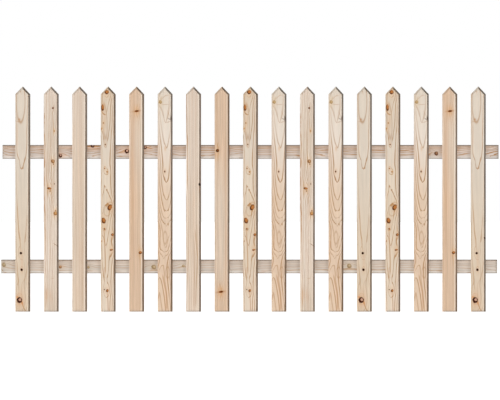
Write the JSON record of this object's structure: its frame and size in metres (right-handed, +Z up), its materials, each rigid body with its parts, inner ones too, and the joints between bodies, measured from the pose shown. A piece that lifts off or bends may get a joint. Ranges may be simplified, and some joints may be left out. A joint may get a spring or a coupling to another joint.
{
  "type": "picket fence panel",
  "caption": "Low wooden picket fence panel: pointed, bevelled pickets fixed upright on the front of two horizontal rails that run past them at both ends.",
  "frame": {"origin": "on the back face of the lower rail, at its mid height and behind the middle picket; the plane y = 0 is the one in which both rails bear on the posts", "axes": "+X along the panel, to the right seen from the front; -Y out of the front, so +Y is the outward normal of the rail backs; +Z up"},
  "size_m": [1.805, 0.048, 0.8161],
  "materials": {
    "picket_wood": "planed untreated softwood, matt",
    "rail_wood": "planed untreated softwood, a little darker and greyer",
    "screw_steel": "plain stainless screws in the backs of the rails"
  },
  "bodies": {
    "root": {"picket_01": "picket_wood", "picket_02": "picket_wood", "picket_03": "picket_wood", "picket_04": "picket_wood", "picket_05": "picket_wood", "picket_06": "picket_wood", "picket_07": "picket_wood", "picket_08": "picket_wood", "picket_09": "picket_wood", "picket_10": "picket_wood", "picket_11": "picket_wood", "picket_12": "picket_wood", "picket_13": "picket_wood", "picket_14": "picket_wood", "picket_15": "picket_wood", "picket_16": "picket_wood", "picket_17": "picket_wood", "lower_rail": "rail_wood", "upper_rail": "rail_wood"}
  },
  "joints": []
}
